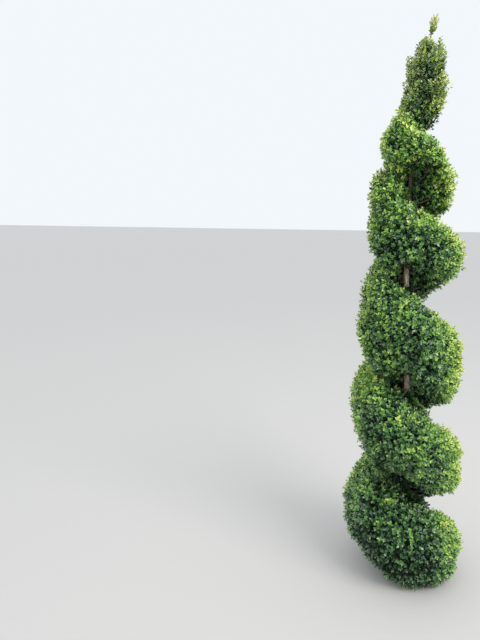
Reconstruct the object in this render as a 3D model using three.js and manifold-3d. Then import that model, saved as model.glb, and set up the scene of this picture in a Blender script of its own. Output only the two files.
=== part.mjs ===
import * as THREE from 'three';
import { mergeVertices } from 'three/addons/utils/BufferGeometryUtils.js';
import Module from 'manifold-3d';

const wasm = await Module();
wasm.setup();

// A box shrub clipped into a spiral of about five and a half turns, rooted in the ground.
// Millimetres, +Z up, origin at the flat cut through the trunk at ground level.
// The photographed side faces -Y. An azimuth is measured from -Y towards +X.

// Trunk: centre line from the ground to the tip, and its radius on the way
const TRUNK_LINE = [
  { z: 0, x: 0, y: 0 },
  { z: 380, x: 5, y: 7 },
  { z: 800, x: 0, y: 9 },
  { z: 1050, x: -16, y: 3 },
  { z: 1300, x: -33, y: -3 },
  { z: 1600, x: -39, y: 2 },
  { z: 1850, x: -24, y: 6 },
  { z: 2100, x: -6, y: 3 },
  { z: 2196, x: 8, y: 2 },
];
const TRUNK_RADII = [
  { z: 0, radius: 19 },
  { z: 400, radius: 15.5 },
  { z: 900, radius: 12.5 },
  { z: 1350, radius: 10.5 },
  { z: 1800, radius: 6.5 },
  { z: 2100, radius: 2.8 },
  { z: 2196, radius: 1.2 },
];
const ROOT_FLARE = 13;
const ROOT_FLARE_HEIGHT = 45;
const ROOT_RIDGES = 5;
const ROOT_RIDGE_SHARE = 0.3;
const TRUNK_SIDES = 10;
const TRUNK_TURN = 0.25; // of a side, so that none of its edges lies in a seam of the foliage
const TRUNK_STEP = 58;
const LONGEST_LAST_STEP = 75;
const FLARE_HEIGHTS = [0, 20, 50, 95];

// Clipped outline: the cone that the coils are cut to, as its radius and how far its middle
// stands to the right of the trunk's foot and behind it
const OUTLINE = [
  { z: 0, radius: 214, right: 20, back: 20 },
  { z: 90, radius: 242, right: 20, back: 17 },
  { z: 250, radius: 256, right: 19, back: 10 },
  { z: 420, radius: 244, right: 10, back: 5 },
  { z: 520, radius: 227, right: -1, back: 1 },
  { z: 600, radius: 231, right: 2, back: 0 },
  { z: 1000, radius: 208, right: -8, back: 0 },
  { z: 1400, radius: 184, right: -8, back: 0 },
  { z: 1600, radius: 160, right: -28, back: 0 },
  { z: 1720, radius: 142, right: -27, back: 0 },
  { z: 1800, radius: 132, right: -32, back: 0 },
  { z: 1870, radius: 97, right: -22, back: 0 },
  { z: 1980, radius: 68, right: -7, back: 0 },
  { z: 2060, radius: 64, right: -10, back: 0 },
  { z: 2112, radius: 24, right: -8, back: 0 },
];
const CROWN_TOP = 2112;
const GROUND_CLEARANCE = 3;
const GROUND_SIZE = 2000;

// Groove between the coils: height of its middle along the spiral. A whole turn is the left
// side and half a turn the right. It is steep on the right under the first full coil.
const GROOVE_HEIGHTS = [
  { turn: -0.5, height: 2030 },
  { turn: 0, height: 1930 },
  { turn: 0.5, height: 1800 },
  { turn: 0.75, height: 1754 },
  { turn: 1, height: 1700 },
  { turn: 1.15, height: 1680 },
  { turn: 1.25, height: 1622 },
  { turn: 1.35, height: 1602 },
  { turn: 1.42, height: 1568 },
  { turn: 1.5, height: 1508 },
  { turn: 2, height: 1335 },
  { turn: 2.25, height: 1265 },
  { turn: 2.5, height: 1170 },
  { turn: 3, height: 925 },
  { turn: 3.25, height: 836 },
  { turn: 3.5, height: 704 },
  { turn: 4, height: 515 },
  { turn: 4.25, height: 424 },
  { turn: 4.5, height: 305 },
  { turn: 5, height: 75 },
  { turn: 5.5, height: -250 },
  { turn: 6, height: -500 },
];

// Half the groove's height. It is narrow on the left, and highest in front under the first
// full coil.
const GROOVE_HALF_WIDTHS = [
  { turn: -0.25, width: 2 },
  { turn: 0, width: 4 },
  { turn: 0.13, width: 8 },
  { turn: 0.25, width: 26 },
  { turn: 0.4, width: 32 },
  { turn: 0.75, width: 32 },
  { turn: 0.9, width: 10 },
  { turn: 1.1, width: 9 },
  { turn: 1.15, width: 10 },
  { turn: 1.2, width: 40 },
  { turn: 1.25, width: 72 },
  { turn: 1.33, width: 76 },
  { turn: 1.42, width: 50 },
  { turn: 1.5, width: 22 },
  { turn: 1.75, width: 34 },
  { turn: 1.92, width: 12 },
  { turn: 2.1, width: 10 },
  { turn: 2.15, width: 11 },
  { turn: 2.25, width: 32 },
  { turn: 2.75, width: 38 },
  { turn: 2.92, width: 16 },
  { turn: 3.1, width: 12 },
  { turn: 3.15, width: 13 },
  { turn: 3.25, width: 38 },
  { turn: 3.5, width: 21 },
  { turn: 3.75, width: 38 },
  { turn: 3.92, width: 30 },
  { turn: 4.05, width: 26 },
  { turn: 4.15, width: 16 },
  { turn: 4.25, width: 38 },
  { turn: 4.5, width: 20 },
  { turn: 5, width: 30 },
];

// How deep the groove is cut, as a share of the way from the outline to the trunk. It starts
// at the back of the top, and stays shallow on the left of every coil.
const GROOVE_DEPTHS = [
  { turn: -0.25, depth: 0 },
  { turn: 0, depth: 0.25 },
  { turn: 0.12, depth: 0.35 },
  { turn: 0.22, depth: 0.85 },
  { turn: 0.35, depth: 1 },
  { turn: 0.75, depth: 1 },
  { turn: 0.95, depth: 0.3 },
  { turn: 1.1, depth: 0.3 },
  { turn: 1.15, depth: 0.32 },
  { turn: 1.22, depth: 1 },
  { turn: 1.75, depth: 1 },
  { turn: 1.95, depth: 0.42 },
  { turn: 2.05, depth: 0.42 },
  { turn: 2.15, depth: 0.3 },
  { turn: 2.22, depth: 1 },
  { turn: 2.75, depth: 1 },
  { turn: 2.95, depth: 0.48 },
  { turn: 3.05, depth: 0.48 },
  { turn: 3.15, depth: 0.3 },
  { turn: 3.22, depth: 1 },
  { turn: 3.75, depth: 1 },
  { turn: 3.95, depth: 0.9 },
  { turn: 4.05, depth: 0.85 },
  { turn: 4.15, depth: 0.35 },
  { turn: 4.22, depth: 1 },
];

// How square the coils' shoulders are, above and below, as a superellipse's power. 2 is an
// ellipse. The right shoulders of the first two coils slope the most.
const SHOULDERS = [
  { turn: -0.25, above: 2.9, below: 2.6 },
  { turn: 0, above: 4, below: 3.6 },
  { turn: 0.5, above: 1.6, below: 3.6 },
  { turn: 1, above: 2.8, below: 2.8 },
  { turn: 1.5, above: 2, below: 1.9 },
  { turn: 2, above: 3.2, below: 2.1 },
  { turn: 2.5, above: 2.8, below: 2.6 },
  { turn: 3, above: 2.8, below: 1.8 },
  { turn: 3.5, above: 2.8, below: 2.6 },
  { turn: 4, above: 2.2, below: 2.6 },
  { turn: 4.5, above: 3.4, below: 2.6 },
];

// Spiral: turns along the band, counted from the left side of the first full coil, a quarter
// turn before the front
const TURN_AT_FRONT = 0.25;
const TOP_START = -1.25;
const BAND_START = -0.25;
const BAND_END = 4.9;
const SECTOR = 0.25;
const SECTOR_NAMES = ['back_left', 'front_left', 'front_right', 'back_right'];
const SECTOR_STEPS = 5;
const SHOULDER_STEPS = 6;
const CORE_STEPS = 3;
const CORE_SHARE = 0.5;
const LIP_SHARE = 0.07;

// Unevenness of the clipped faces: long and short waves, each in three directions with its
// own phase, the short waves shifted against the long ones
const LUMP_HEIGHT = 11;
const LUMP_LENGTHS = [210, 118];
const LUMP_DIRECTIONS = [
  { x: 1, y: 0, z: 0.4, phase: 0.5, shift: 1.7 },
  { x: 0, y: 1, z: -0.5, phase: 0, shift: 2.3 },
  { x: 0.6, y: -0.3, z: 1, phase: 0, shift: 0.9 },
];

// Shoots that grow past the clipped outline, and boughs that show in the grooves
const LEADER_TUFT = { from: [1, 3, 2137], to: [12, 2, 2208], radius: 17 };
const SIDE_SHOOT = { from: [-25, -4, 2080], to: [-15, -4, 2139], radius: 11 };
const STUB_BOUGH = { from: [-33, -3, 1270], to: [-4, -16, 1290], thick: 4.6, thin: 2.6 };
const GAP_BOUGH = { from: [-26, 6, 1782], to: [40, -16, 1856], thick: 4.2, thin: 2 };
const SHOOT_SIDES = 8;
const SHOOT_STEPS = 5;

// A leafy shoot is a spindle cut short at both ends, with soft ridges that wind round it
const SPINDLE_REACH = 0.85;
const SPINDLE_RIDGES = 3;
const SPINDLE_RIDGE_SHARE = 0.12;
const SPINDLE_TWIST = 7;

// Seams between touching pieces, and the wider one at the back where the top's turn closes
const SEAM = 0.3;
const BACK_SEAM = 8;

// Points closer than this are one point of a closed mesh. Slivers that a cut leaves thinner
// than this are taken up by their neighbours, and loose crumbs under this volume are dropped.
const MERGE_WITHIN = 1e-4;
const SLIVER = 0.05;
const CRUMB = 1;

const barkMaterial = new THREE.MeshStandardMaterial({
  color: 0x9a7b5c, roughness: 0.85, metalness: 0,
});
const greens = [0x4c7a2e, 0x557f2f, 0x447029, 0x5f8a35];
const foliageMaterials = greens.map((color) => new THREE.MeshStandardMaterial({
  color, roughness: 0.7, metalness: 0,
}));
const newGrowthMaterial = foliageMaterials.at(-1);

// Smooth value at x through a list of named places, held level past both ends
function through(places, key, name, x) {
  const last = places.length - 1;
  if (x <= places[0][key]) return places[0][name];
  if (x >= places[last][key]) return places[last][name];
  let i = 0;
  while (x > places[i + 1][key]) i += 1;
  const slope = (j) => (
    (places[j + 1][name] - places[j][name]) / (places[j + 1][key] - places[j][key])
  );
  const tangent = (j) => {
    if (j === 0) return slope(0);
    if (j === last) return slope(last - 1);
    return (slope(j - 1) + slope(j)) / 2;
  };
  const span = places[i + 1][key] - places[i][key];
  const u = (x - places[i][key]) / span;
  const start = places[i][name] * (2 * u ** 3 - 3 * u ** 2 + 1);
  const end = places[i + 1][name] * (3 * u ** 2 - 2 * u ** 3);
  const leave = tangent(i) * span * (u ** 3 - 2 * u ** 2 + u);
  const arrive = tangent(i + 1) * span * (u ** 3 - u ** 2);
  return start + end + leave + arrive;
}

const grooveHeight = (turn) => through(GROOVE_HEIGHTS, 'turn', 'height', turn);
const grooveHalf = (turn) => through(GROOVE_HALF_WIDTHS, 'turn', 'width', turn);
const grooveDepth = (turn) => Math.min(through(GROOVE_DEPTHS, 'turn', 'depth', turn), 1);

const trunkX = (z) => through(TRUNK_LINE, 'z', 'x', z);
const trunkY = (z) => through(TRUNK_LINE, 'z', 'y', z);

// Trunk radius at a height and an azimuth, with the root flare in a few soft ridges
function trunkRadius(z, azimuth) {
  const flare = ROOT_FLARE * Math.exp(-z / ROOT_FLARE_HEIGHT);
  const ridges = 1 + ROOT_RIDGE_SHARE * Math.cos(ROOT_RIDGES * azimuth);
  return through(TRUNK_RADII, 'z', 'radius', z) + flare * ridges;
}

// Soft lumps left by the shears, as a sum of waves through space
function lump(x, y, z) {
  let height = 0;
  LUMP_LENGTHS.forEach((length, i) => {
    for (const way of LUMP_DIRECTIONS) {
      const distance = way.x * x + way.y * y + way.z * z;
      const wave = Math.sin(2 * Math.PI * distance / length + way.phase + way.shift * i);
      height += wave / (LUMP_DIRECTIONS.length * (i + 1));
    }
  });
  return LUMP_HEIGHT * height;
}

// A closed geometry out of rings of points, each ring with the same number of points
function loft(rings, firstCap, lastCap) {
  const across = rings[0].length;
  const positions = rings.flat().flatMap((p) => [p.x, p.y, p.z]);
  const indices = [];
  for (let i = 0; i + 1 < rings.length; i += 1) {
    for (let j = 0; j < across; j += 1) {
      const a = i * across + j;
      const b = i * across + (j + 1) % across;
      indices.push(a, b, a + across);
      indices.push(b, b + across, a + across);
    }
  }
  const end = (rings.length - 1) * across;
  for (const [a, b, c] of firstCap) indices.push(a, c, b);
  for (const [a, b, c] of lastCap) indices.push(end + a, end + b, end + c);
  const geometry = new THREE.BufferGeometry();
  geometry.setAttribute('position', new THREE.Float32BufferAttribute(positions, 3));
  geometry.setIndex(indices);
  return geometry;
}

const fan = (count) => Array.from({ length: count - 2 }, (_, i) => [0, i + 1, i + 2]);

function toManifold(geometry) {
  const merged = mergeVertices(geometry, MERGE_WITHIN);
  return new wasm.Manifold(new wasm.Mesh({
    numProp: 3,
    vertProperties: new Float32Array(merged.attributes.position.array),
    triVerts: new Uint32Array(merged.index.array),
  }));
}

function toGeometry(solid) {
  const mesh = solid.getMesh();
  const geometry = new THREE.BufferGeometry();
  geometry.setAttribute('position', new THREE.BufferAttribute(mesh.vertProperties, 3));
  geometry.setIndex(new THREE.BufferAttribute(mesh.triVerts, 1));
  geometry.computeVertexNormals();
  return geometry;
}

// Trunk as rings of points from the flat cut to the tip; grown outwards it cuts its own seat
function trunkGeometry(grow) {
  const tip = TRUNK_LINE.at(-1).z;
  const heights = [...FLARE_HEIGHTS];
  while (heights.at(-1) + LONGEST_LAST_STEP < tip) {
    heights.push(heights.at(-1) + TRUNK_STEP);
  }
  heights.push(tip);
  const rings = heights.map((height, i) => {
    const low = i === 0 ? -grow : 0;
    const high = i === heights.length - 1 ? grow : 0;
    return Array.from({ length: TRUNK_SIDES }, (_, j) => {
      const azimuth = 2 * Math.PI * (j + TRUNK_TURN) / TRUNK_SIDES;
      const radius = trunkRadius(height, azimuth) + grow;
      return new THREE.Vector3(
        trunkX(height) + radius * Math.sin(azimuth),
        trunkY(height) - radius * Math.cos(azimuth),
        height + low + high,
      );
    });
  });
  return loft(rings, fan(TRUNK_SIDES), fan(TRUNK_SIDES));
}

// One point of the clipped crown: share 0 lies inside the trunk and share 1 on the outline
function crownPoint(azimuth, z, share, aside) {
  const core = CORE_SHARE * through(TRUNK_RADII, 'z', 'radius', z);
  const radius = through(OUTLINE, 'z', 'radius', z);
  const x = THREE.MathUtils.lerp(trunkX(z), through(OUTLINE, 'z', 'right', z), share);
  const y = THREE.MathUtils.lerp(trunkY(z), through(OUTLINE, 'z', 'back', z), share);
  const reach = THREE.MathUtils.lerp(core, radius, share);
  const dx = Math.sin(azimuth);
  const dy = -Math.cos(azimuth);
  const rough = share * lump(x + reach * dx, y + reach * dy, z);
  return {
    point: new THREE.Vector3(
      x + (reach + rough) * dx - aside * dy,
      y + (reach + rough) * dy + aside * dx,
      z,
    ),
    flat: new THREE.Vector2(reach + rough, z),
  };
}

// Upright section of the band at one place along it: down its clipped face from the upper
// groove to the lower one, then back up inside the trunk
function bandSection(turn, isTop, aside) {
  const azimuth = (turn - TURN_AT_FRONT) * 2 * Math.PI;
  const bottom = grooveHeight(turn + 1) + grooveHalf(turn + 1);
  const top = isTop ? CROWN_TOP : grooveHeight(turn) - grooveHalf(turn);
  const middle = (top + bottom) / 2;
  const half = (top - bottom) / 2;
  const depths = [isTop ? 0 : grooveDepth(turn), grooveDepth(turn + 1)];
  const section = [];
  for (let i = -SHOULDER_STEPS; i <= SHOULDER_STEPS; i += 1) {
    const shoulder = through(SHOULDERS, 'turn', i < 0 ? 'above' : 'below', turn);
    const tilt = Math.abs(i) / SHOULDER_STEPS * Math.PI / 2;
    const across = Math.sin(tilt) ** (2 / shoulder);
    const round = Math.abs(Math.cos(tilt)) ** (2 / shoulder);
    const out = Math.max(round, LIP_SHARE);
    const share = 1 - (1 - out) * (i < 0 ? depths[0] : depths[1]);
    section.push(crownPoint(azimuth, middle - Math.sign(i) * across * half, share, aside));
  }
  for (let i = 0; i <= CORE_STEPS; i += 1) {
    const z = THREE.MathUtils.lerp(bottom, top, i / CORE_STEPS);
    section.push(crownPoint(azimuth, z, 0, aside));
  }
  return section;
}

// Triangles that close a section, all turned the same way
function sectionCap(section) {
  const flats = section.map((place) => place.flat);
  return THREE.ShapeUtils.triangulateShape(flats, []).map(([a, b, c]) => (
    THREE.ShapeUtils.isClockWise([flats[a], flats[b], flats[c]]) ? [a, b, c] : [a, c, b]
  ));
}

// One sector of the band, with half a seam taken off each end
function bandSector(from, to, isTop, startSeam = SEAM) {
  const sections = [];
  for (let i = 0; i <= SECTOR_STEPS; i += 1) {
    const startAside = i === 0 ? startSeam / 2 : 0;
    const endAside = i === SECTOR_STEPS ? SEAM / 2 : 0;
    const turn = THREE.MathUtils.lerp(from, to, i / SECTOR_STEPS);
    sections.push(bandSection(turn, isTop, startAside - endAside));
  }
  const rings = sections.map((section) => section.map((place) => place.point));
  return loft(rings, sectionCap(sections[0]), sectionCap(sections[SECTOR_STEPS]));
}

// A tapering shoot or bough between two points, its radius given by a function of the share
// of its length
function shoot(from, to, radiusAt, grow) {
  const start = new THREE.Vector3(...from);
  const end = new THREE.Vector3(...to);
  const along = end.clone().sub(start).normalize();
  const side = new THREE.Vector3(0, -1, 0).cross(along).normalize();
  const front = along.clone().cross(side);
  const rings = [];
  for (let i = 0; i <= SHOOT_STEPS; i += 1) {
    const share = i / SHOOT_STEPS;
    const ends = (i === 0 ? -grow : 0) + (i === SHOOT_STEPS ? grow : 0);
    const centre = start.clone().lerp(end, share).addScaledVector(along, ends);
    rings.push(Array.from({ length: SHOOT_SIDES }, (_, j) => {
      const angle = 2 * Math.PI * j / SHOOT_SIDES;
      const radius = radiusAt(share, angle) + grow;
      return centre.clone()
        .addScaledVector(side, radius * Math.cos(angle))
        .addScaledVector(front, radius * Math.sin(angle));
    }));
  }
  return loft(rings, fan(SHOOT_SIDES), fan(SHOOT_SIDES));
}

function leafyShoot({ from, to, radius }, grow) {
  const radiusAt = (share, angle) => {
    const reach = SPINDLE_REACH * (2 * share - 1);
    const ridge = Math.sin(SPINDLE_RIDGES * angle + SPINDLE_TWIST * share);
    return radius * Math.sqrt(1 - reach ** 2) * (1 + SPINDLE_RIDGE_SHARE * ridge);
  };
  return toManifold(shoot(from, to, radiusAt, grow));
}

function bough({ from, to, thick, thin }, grow) {
  return toManifold(shoot(from, to, (share) => THREE.MathUtils.lerp(thick, thin, share), grow));
}

const plant = new THREE.Group();

function addPart(name, solid, material) {
  const bodies = solid.simplify(SLIVER).decompose();
  const whole = wasm.Manifold.compose(bodies.filter((body) => body.volume() > CRUMB));
  const part = new THREE.Mesh(toGeometry(whole), material);
  part.name = name;
  plant.add(part);
}

// Trunk, whole from the ground to its tip
addPart('trunk', toManifold(trunkGeometry(0)), barkMaterial);
const trunkSeat = toManifold(trunkGeometry(SEAM));

// Boughs that show in the grooves, carried by the trunk
addPart('bough_stub_middle_groove', bough(STUB_BOUGH, 0).subtract(trunkSeat), barkMaterial);
addPart('bough_under_top', bough(GAP_BOUGH, 0).subtract(trunkSeat), barkMaterial);

// Masses of foliage are cut round the trunk, the boughs and the side shoot, and at the ground.
// The wide seam folds a mass over itself next to the trunk, so the trunk's seat is cut twice.
const ground = new THREE.BoxGeometry(GROUND_SIZE, GROUND_SIZE, GROUND_SIZE);
ground.deleteAttribute('normal');
ground.deleteAttribute('uv');
ground.translate(0, 0, GROUND_CLEARANCE - GROUND_SIZE / 2);
const clearings = [
  trunkSeat,
  trunkSeat,
  bough(STUB_BOUGH, SEAM),
  bough(GAP_BOUGH, SEAM),
  leafyShoot(SIDE_SHOOT, SEAM),
  toManifold(ground),
];

let tone = 0;
function addMass(name, geometry) {
  const solid = clearings.reduce((mass, cutter) => mass.subtract(cutter), toManifold(geometry));
  addPart(name, solid, foliageMaterials[tone % foliageMaterials.length]);
  tone += 1;
}

// Top of the crown: one turn whose upper side is the clipped point of the cone
for (let i = 0; i < SECTOR_NAMES.length; i += 1) {
  const from = TOP_START + i * SECTOR;
  const startSeam = i === 0 ? BACK_SEAM : SEAM;
  addMass(`top_${SECTOR_NAMES[i]}`, bandSector(from, from + SECTOR, true, startSeam));
}

// Coils of the band, counted downwards below the top, four sectors to a turn
const sectors = Math.ceil((BAND_END - BAND_START) / SECTOR);
for (let i = 0; i < sectors; i += 1) {
  const from = BAND_START + i * SECTOR;
  const to = Math.min(from + SECTOR, BAND_END);
  const coil = 1 + Math.floor(i / SECTOR_NAMES.length);
  const side = SECTOR_NAMES[i % SECTOR_NAMES.length];
  const startSeam = i === 0 ? BACK_SEAM : SEAM;
  addMass(`coil_${coil}_${side}`, bandSector(from, to, false, startSeam));
}

// Leafy tip of the leader, and the side shoot beside it
addPart('leader_tuft', leafyShoot(LEADER_TUFT, 0).subtract(trunkSeat), newGrowthMaterial);
addPart('side_shoot', leafyShoot(SIDE_SHOOT, 0), newGrowthMaterial);

export default plant;
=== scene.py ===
import math

import bmesh
import bpy
import numpy as np
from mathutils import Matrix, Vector, noise
from mathutils.bvhtree import BVHTree


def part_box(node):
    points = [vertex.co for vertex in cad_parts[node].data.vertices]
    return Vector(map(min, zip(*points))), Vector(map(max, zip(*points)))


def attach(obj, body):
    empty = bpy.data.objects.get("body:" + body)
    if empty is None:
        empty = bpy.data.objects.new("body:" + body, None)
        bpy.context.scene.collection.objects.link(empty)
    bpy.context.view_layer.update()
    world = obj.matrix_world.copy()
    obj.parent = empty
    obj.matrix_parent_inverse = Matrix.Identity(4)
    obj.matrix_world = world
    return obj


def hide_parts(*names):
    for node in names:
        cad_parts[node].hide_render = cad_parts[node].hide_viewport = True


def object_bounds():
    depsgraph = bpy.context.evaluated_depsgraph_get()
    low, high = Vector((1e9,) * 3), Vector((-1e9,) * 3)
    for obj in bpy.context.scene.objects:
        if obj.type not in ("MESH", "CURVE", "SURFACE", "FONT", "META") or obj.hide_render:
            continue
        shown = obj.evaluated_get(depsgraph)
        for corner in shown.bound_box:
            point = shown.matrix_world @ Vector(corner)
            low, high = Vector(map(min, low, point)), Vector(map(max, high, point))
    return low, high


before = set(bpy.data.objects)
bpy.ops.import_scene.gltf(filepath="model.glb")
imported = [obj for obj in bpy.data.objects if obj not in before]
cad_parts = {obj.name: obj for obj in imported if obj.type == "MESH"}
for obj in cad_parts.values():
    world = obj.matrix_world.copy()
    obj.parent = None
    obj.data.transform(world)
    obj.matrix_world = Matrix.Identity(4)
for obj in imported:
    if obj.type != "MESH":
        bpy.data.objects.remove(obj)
cad_low, cad_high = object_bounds()

# Camera: at standing height 2.2 m in front of the plant, turned to the left of it and a
# little down, with the lens of the photograph.
EYE_HEIGHT = 1.55
EYE_DISTANCE = 2.2137
HEADING = math.radians(18.02)
PITCH = math.radians(12.225)
FOCAL_PIXELS = 540
LONG_SIDE_PIXELS = 640
SENSOR_WIDTH = 36

camera_data = bpy.data.cameras.new("camera")
camera_data.sensor_width = SENSOR_WIDTH
camera_data.lens = SENSOR_WIDTH * FOCAL_PIXELS / LONG_SIDE_PIXELS
camera = bpy.data.objects.new("camera", camera_data)
camera.location = (0, -EYE_DISTANCE, EYE_HEIGHT)
camera.rotation_euler = (math.pi / 2 - PITCH, 0, HEADING)
bpy.context.scene.collection.objects.link(camera)
bpy.context.scene.camera = camera


# Studio light: an even pale glow all round, and one large soft lamp above the plant's right
# front, where the photograph's light is strongest.
BACKDROP_COLOUR = (0.89, 0.93, 0.97, 1)
ZENITH_COLOUR = (1.54, 1.60, 1.70, 1)
HORIZON_COLOUR = (0.92, 0.95, 0.99, 1)
LAMP_PLACE = Vector((2.6, -1.6, 4.2))
LAMP_TARGET = Vector((0, 0, 1.1))
LAMP_SIDE = 2.4
LAMP_WATTS = 150
LAMP_COLOUR = (1.0, 0.98, 0.93)

world = bpy.data.worlds.new("pale_glow")
world.use_nodes = True
nodes, links = world.node_tree.nodes, world.node_tree.links
direction = nodes.new("ShaderNodeTexCoord")
split = nodes.new("ShaderNodeSeparateXYZ")
links.new(direction.outputs["Generated"], split.inputs["Vector"])
glow = nodes.new("ShaderNodeMix")
glow.data_type = "RGBA"
glow.inputs["A"].default_value = HORIZON_COLOUR
glow.inputs["B"].default_value = ZENITH_COLOUR
links.new(split.outputs["Z"], glow.inputs["Factor"])
ray = nodes.new("ShaderNodeLightPath")
seen = nodes.new("ShaderNodeMix")
seen.data_type = "RGBA"
seen.inputs["B"].default_value = BACKDROP_COLOUR
links.new(ray.outputs["Is Camera Ray"], seen.inputs["Factor"])
links.new(glow.outputs["Result"], seen.inputs["A"])
links.new(seen.outputs["Result"], nodes["Background"].inputs["Color"])
bpy.context.scene.world = world
bpy.context.scene.view_settings.view_transform = "Standard"

lamp_data = bpy.data.lights.new("soft_lamp", "AREA")
lamp_data.size = LAMP_SIDE
lamp_data.energy = LAMP_WATTS
lamp_data.color = LAMP_COLOUR
lamp = bpy.data.objects.new("soft_lamp", lamp_data)
lamp.location = LAMP_PLACE
lamp.rotation_euler = (LAMP_TARGET - LAMP_PLACE).to_track_quat("-Z", "Y").to_euler()
bpy.context.scene.collection.objects.link(lamp)


# Floor: a plain pale studio floor, level with the cut under the trunk. It isn't part of the
# plant.
FLOOR_REACH = 30
FLOOR_COLOUR = (0.44, 0.43, 0.41, 1)
FLOOR_ROUGHNESS = 0.9

floor_mesh = bpy.data.meshes.new("floor")
shape = bmesh.new()
bmesh.ops.create_grid(shape, x_segments=1, y_segments=1, size=FLOOR_REACH)
shape.to_mesh(floor_mesh)
shape.free()
floor_material = bpy.data.materials.new("floor_paint")
floor_material.use_nodes = True
paint = floor_material.node_tree.nodes["Principled BSDF"]
paint.inputs["Base Color"].default_value = FLOOR_COLOUR
paint.inputs["Roughness"].default_value = FLOOR_ROUGHNESS
floor_mesh.materials.append(floor_material)
floor = bpy.data.objects.new("floor", floor_mesh)
bpy.context.scene.collection.objects.link(floor)


# Trunk: one stem of box wood from a flat cut at the ground to the leader's tip, with a soft
# flare over the roots. Its bark is thin, pale tan and finely cracked lengthwise, and painted
# paler still as painted light on the bare places; higher up it is young, dark and reddish, and
# this dark bark is partly painted shade where the trunk runs through the upper grooves.
RING_STEP = 0.005
TRUNK_SIDES = 32
CENTRE_STEP = 0.02
CRACK_WIDTH = 0.0035
CRACK_LENGTH = 0.022
CRACK_DEPTH = 0.0009
CRACK_MIDDLE = 0.4
KNOT_SIZE = 0.03
KNOT_HEIGHT = 0.0012
REFERENCE_RADIUS = 0.016
END_MARGIN = 0.0005
DARK_BARK_AND_SHADE_FROM = 1.42


def triangles_of(name):
    """The corners of a node's triangles, as an array of triangle, corner and axis."""
    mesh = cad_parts[name].data
    mesh.calc_loop_triangles()
    points = np.zeros(len(mesh.vertices) * 3)
    mesh.vertices.foreach_get("co", points)
    corners = np.zeros(len(mesh.loop_triangles) * 3, int)
    mesh.loop_triangles.foreach_get("vertices", corners)
    return points.reshape(-1, 3)[corners].reshape(-1, 3, 3)


def tree_of(triangles):
    """A search tree for rays against triangles."""
    corners = np.arange(len(triangles) * 3).reshape(-1, 3)
    return BVHTree.FromPolygons(triangles.reshape(-1, 3).tolist(), corners.tolist())


trunk_triangles = triangles_of("trunk")
trunk_tree = tree_of(trunk_triangles)
trunk_top = trunk_triangles[..., 2].max()


def section_centre(height):
    """The middle of the trunk's outline where a level plane cuts it."""
    starts = trunk_triangles.reshape(-1, 3)
    ends = np.roll(trunk_triangles, -1, axis=1).reshape(-1, 3)
    crosses = (starts[:, 2] - height) * (ends[:, 2] - height) < 0
    start, end = starts[crosses], ends[crosses]
    share = (height - start[:, 2]) / (end[:, 2] - start[:, 2])
    cut = start + (end - start) * share[:, None]
    return (cut.min(axis=0) + cut.max(axis=0)) / 2


centre_heights = np.arange(CENTRE_STEP / 2, trunk_top, CENTRE_STEP)
centres = np.array([section_centre(z) for z in centre_heights])


def trunk_axis(heights):
    """Points of the trunk's centre line at these heights."""
    x = np.interp(heights, centre_heights, centres[:, 0])
    y = np.interp(heights, centre_heights, centres[:, 1])
    return np.stack([x, y, np.broadcast_to(heights, x.shape)], axis=-1)


def bark_height(x, y, z, radius):
    """How far the bark stands out at a point: ridges between long cracks, and soft knots."""
    size = min(radius / REFERENCE_RADIUS, 1)
    along = z / CRACK_LENGTH
    crack = abs(noise.noise(Vector((x / CRACK_WIDTH, y / CRACK_WIDTH, along))))
    knot = noise.noise(Vector((x, y, z)) / KNOT_SIZE)
    return size * (CRACK_DEPTH * (crack - CRACK_MIDDLE) + KNOT_HEIGHT * knot)


def barked_tube(name, length, sides, centre_at, radius_at):
    """A closed tube with the bark's relief. A tall cone's rings are moved to their places."""
    rings = max(int(length / RING_STEP), 2)
    shape = bmesh.new()
    bmesh.ops.create_cone(
        shape, cap_ends=True, segments=sides, radius1=1, radius2=1, depth=1
    )
    upright = [e for e in shape.edges if abs(e.verts[0].co.z - e.verts[1].co.z) > 0.5]
    bmesh.ops.subdivide_edges(shape, edges=upright, cuts=rings - 1, use_grid_fill=True)
    for v in shape.verts:
        share = v.co.z + 0.5
        azimuth = math.atan2(v.co.x, -v.co.y)
        centre, side, front = centre_at(share)
        out = side * math.sin(azimuth) - front * math.cos(azimuth)
        radius = radius_at(share, centre, out)
        place = centre + out * radius
        v.co = place + out * bark_height(*place, radius)
    bmesh.ops.recalc_face_normals(shape, faces=shape.faces)
    for face in shape.faces:
        face.smooth = len(face.verts) == 4
    mesh = bpy.data.meshes.new(name)
    shape.to_mesh(mesh)
    shape.free()
    piece = bpy.data.objects.new(name, mesh)
    bpy.context.scene.collection.objects.link(piece)
    return piece


def trunk_centre(share):
    """The trunk's middle at a share of its height, and the two level ways across it."""
    x, y, z = trunk_axis(np.array(share * trunk_top))
    return Vector((x, y, z)), Vector((1, 0, 0)), Vector((0, 1, 0))


def trunk_radius(share, centre, out):
    """The CAD trunk's radius in a direction, read just inside its two flat ends."""
    inside = min(max(centre.z, END_MARGIN), trunk_top - END_MARGIN)
    hit = trunk_tree.ray_cast(Vector((centre.x, centre.y, inside)), out)
    return hit[3]


trunk = barked_tube("trunk_bark", trunk_top, TRUNK_SIDES, trunk_centre, trunk_radius)


CRACK_PATTERN = {
    "scale": 260, "detail": 5, "roughness": 0.62,
    "shift": (0, 0, 0), "stretch": (1, 1, 0.14), "low": 0.38, "high": 0.62,
}
BLOTCH_PATTERN = {
    "scale": 34, "detail": 3, "roughness": 0.5,
    "shift": (3, 1, 2), "stretch": (1, 1, 0.45), "low": 0.48, "high": 0.66,
}
CRACK_ROUGHNESS = 0.95
RIDGE_ROUGHNESS = 0.68


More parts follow.
